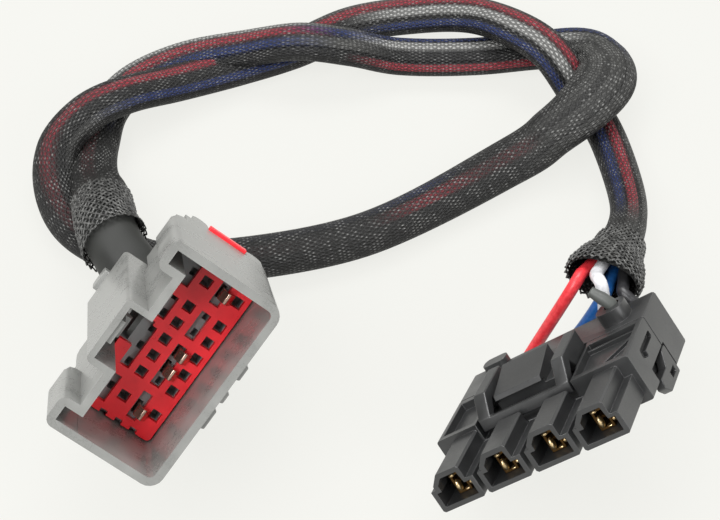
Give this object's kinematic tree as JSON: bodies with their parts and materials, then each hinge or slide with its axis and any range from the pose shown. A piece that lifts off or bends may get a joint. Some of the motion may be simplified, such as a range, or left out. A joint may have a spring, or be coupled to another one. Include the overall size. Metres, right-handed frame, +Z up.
{
  "type": "wiring adapter harness",
  "caption": "Wiring adapter harness: a keyed grey plug with a rubber boot and a black plug with box contacts, joined by wires in a braided sleeve laid in loops.",
  "frame": {"origin": "on the table, under the middle of the bounding box of the two plugs", "axes": "+Z up; +X to the right, from the grey plug to the black plug; +Y away from the viewer, towards the loops of cable"},
  "size_m": [0.1351, 0.1357, 0.0605],
  "materials": {
    "grey_plastic": "moulded, satin",
    "red_plastic": "moulded, semi gloss",
    "dark_grey_plastic": "moulded, satin",
    "black_plastic": "moulded, satin with fine flow marks",
    "copper": "bright copper alloy stamping",
    "brass": "bright stamped sheet",
    "grey_rubber": "matte",
    "braided_sleeve": "open braid of black monofilament over coloured wires",
    "red_wire": "extruded insulation",
    "blue_wire": "extruded insulation",
    "white_wire": "extruded insulation",
    "black_wire": "extruded insulation"
  },
  "bodies": {
    "harness": {"shroud": "grey_plastic", "lock_plate": "red_plastic", "terminal_body": "dark_grey_plastic", "plug_terminal_1": "copper", "plug_terminal_2": "copper", "plug_terminal_3": "copper", "plug_terminal_4": "copper", "rear_cover": "grey_plastic", "cable_boot": "grey_rubber", "plug_housing": "black_plastic", "receptacle_1": "brass", "receptacle_2": "brass", "receptacle_3": "brass", "receptacle_4": "brass", "braided_cable": "braided_sleeve", "wire_red": "red_wire", "wire_blue": "blue_wire", "wire_white": "white_wire", "wire_black": "black_wire"},
    "lock_slide": {"lock_slide": "red_plastic"},
    "lock_lever": {"lock_lever": "grey_plastic"},
    "latch_frame": {"latch_frame": "black_plastic"},
    "rear_lock": {"rear_lock": "black_plastic", "wire_peg": "grey_rubber"},
    "side_latch": {"side_latch": "black_plastic"}
  },
  "joints": [
    {"name": "lock_slide_out", "type": "slide", "parent": "harness", "child": "lock_slide", "axis": [0.5912, 0.6307, 0.5027], "range_m": [0, 0.003]},
    {"name": "lever_press", "type": "hinge", "parent": "harness", "child": "lock_lever", "pos_m": [-0.04824, 0.00224, 0.03378], "axis": [-0.5912, -0.6307, -0.5027], "range_deg": [0, 4], "stiffness_Nm_per_rad": 0.2},
    {"name": "latch_lift", "type": "hinge", "parent": "harness", "child": "latch_frame", "pos_m": [0.03388, -0.00727, 0.02597], "axis": [-0.7729, -0.1155, -0.6239], "range_deg": [0, 8], "stiffness_Nm_per_rad": 0.1},
    {"name": "rear_lock_pull", "type": "slide", "parent": "harness", "child": "rear_lock", "axis": [0.3146, 0.7841, -0.535], "range_m": [0, 0.0022]},
    {"name": "side_latch_spread", "type": "hinge", "parent": "rear_lock", "child": "side_latch", "pos_m": [0.05728, -0.0083, 0.03355], "axis": [-0.551, 0.6098, 0.5697], "range_deg": [0, 6], "stiffness_Nm_per_rad": 0.05}
  ]
}
